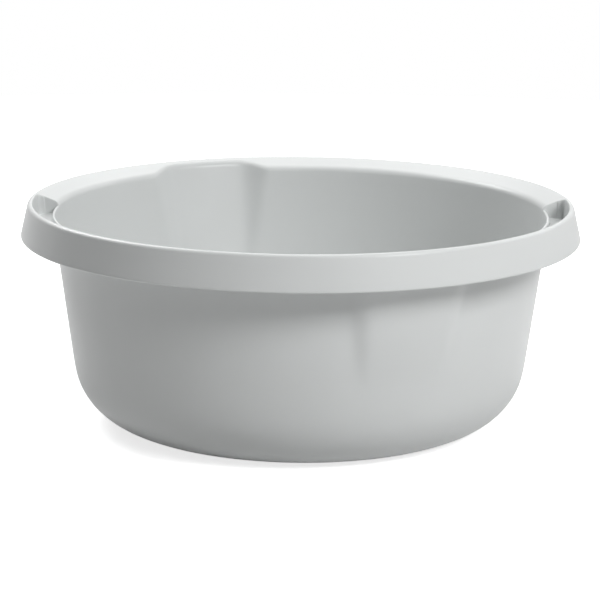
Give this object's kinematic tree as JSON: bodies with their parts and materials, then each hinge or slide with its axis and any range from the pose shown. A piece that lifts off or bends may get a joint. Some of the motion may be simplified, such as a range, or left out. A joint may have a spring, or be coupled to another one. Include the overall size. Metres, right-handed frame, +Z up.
{
  "type": "washing up bowl",
  "caption": "Round washing up bowl with a wide sloping rim, a hanging skirt, recessed grip pockets in the rim and shallow flutes in the wall.",
  "frame": {"origin": "centre of the base's flat resting face", "axes": "+Z up along the bowl's axis, +X to the right and -Y to the front, as the bowl is seen in use; the grip pockets are in the rim at +X and -X"},
  "size_m": [0.3596, 0.3594, 0.1425],
  "materials": {
    "shell": "smooth satin light grey polypropylene"
  },
  "bodies": {
    "root": {"bowl": "shell"}
  },
  "joints": []
}
